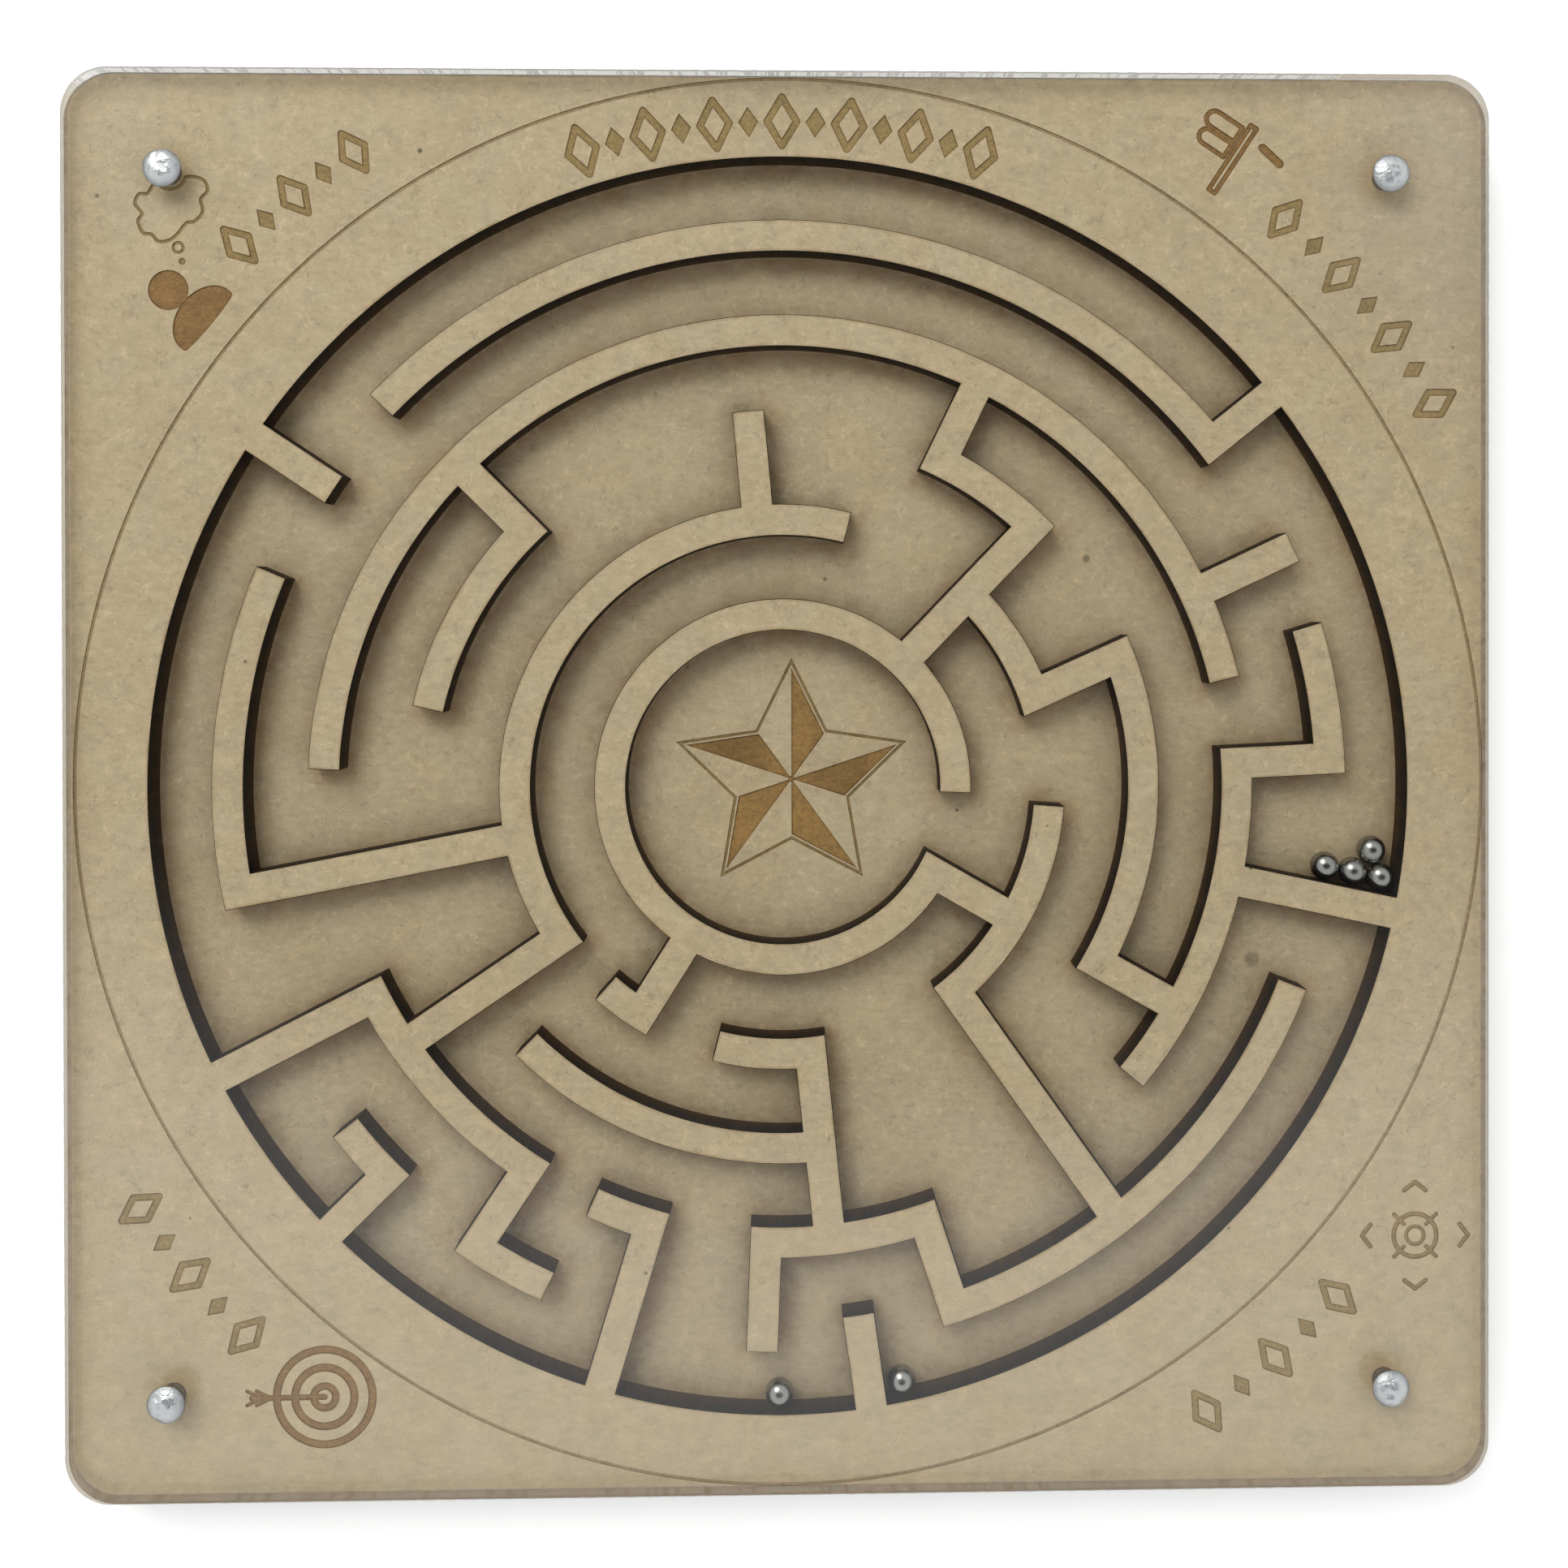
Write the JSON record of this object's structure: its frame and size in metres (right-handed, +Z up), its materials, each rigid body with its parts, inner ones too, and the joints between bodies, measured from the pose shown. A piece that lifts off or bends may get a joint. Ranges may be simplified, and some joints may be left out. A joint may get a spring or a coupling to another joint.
{
  "type": "tilt maze game",
  "caption": "Hand-held tilt maze: broken ring walls cut from fibreboard between a base board and a riveted clear cover, with loose steel balls that roll to the star in the middle.",
  "frame": {"origin": "middle of the flat underside of the base board, on the axis of the ring walls", "axes": "+Z up through the stack towards the clear cover, +X to the player's right, +Y away from the player"},
  "size_m": [0.15, 0.15, 0.0093],
  "materials": {
    "fibreboard": "smooth raw fibreboard, laser-cut edges charred dark brown",
    "clear_acrylic": "clear gloss sheet with laser-cut edges",
    "rivet_aluminium": "hammered soft aluminium",
    "ball_steel": "polished bearing steel"
  },
  "bodies": {
    "board": {"base_board": "fibreboard", "maze_layer": "fibreboard", "clear_cover": "clear_acrylic", "rivet_front_left": "rivet_aluminium", "rivet_front_right": "rivet_aluminium", "rivet_rear_left": "rivet_aluminium", "rivet_rear_right": "rivet_aluminium"},
    "ball_1": {"steel_ball_1": "ball_steel"},
    "ball_2": {"steel_ball_2": "ball_steel"},
    "ball_3": {"steel_ball_3": "ball_steel"},
    "ball_4": {"steel_ball_4": "ball_steel"},
    "ball_5": {"steel_ball_5": "ball_steel"},
    "ball_6": {"steel_ball_6": "ball_steel"}
  },
  "joints": [
    {"name": "ball_1_roll", "type": "hinge", "parent": "board", "child": "ball_1", "pos_m": [0, 0, 0.00451], "axis": [0, 0, 1], "range_deg": [0, 8]},
    {"name": "ball_2_roll", "type": "hinge", "parent": "board", "child": "ball_2", "pos_m": [0, 0, 0.00451], "axis": [0, 0, 1], "range_deg": [0, 41.5]},
    {"name": "ball_3_roll", "type": "hinge", "parent": "board", "child": "ball_3", "pos_m": [0, 0, 0.00451], "axis": [0, 0, 1], "range_deg": [0, 41.5]},
    {"name": "ball_4_roll", "type": "hinge", "parent": "board", "child": "ball_4", "pos_m": [0, 0, 0.00451], "axis": [0, 0, 1], "range_deg": [0, 41.5]},
    {"name": "ball_5_roll", "type": "hinge", "parent": "board", "child": "ball_5", "pos_m": [0, 0, 0.00451], "axis": [0, 0, 1], "range_deg": [-13.5, 5.5]},
    {"name": "ball_6_roll", "type": "hinge", "parent": "board", "child": "ball_6", "pos_m": [0, 0, 0.00451], "axis": [0, 0, 1], "range_deg": [0, 64]}
  ],
  "couplings": [
    {"joint": "ball_2_roll", "follows": "ball_3_roll", "ratio": 1},
    {"joint": "ball_4_roll", "follows": "ball_3_roll", "ratio": 1}
  ]
}
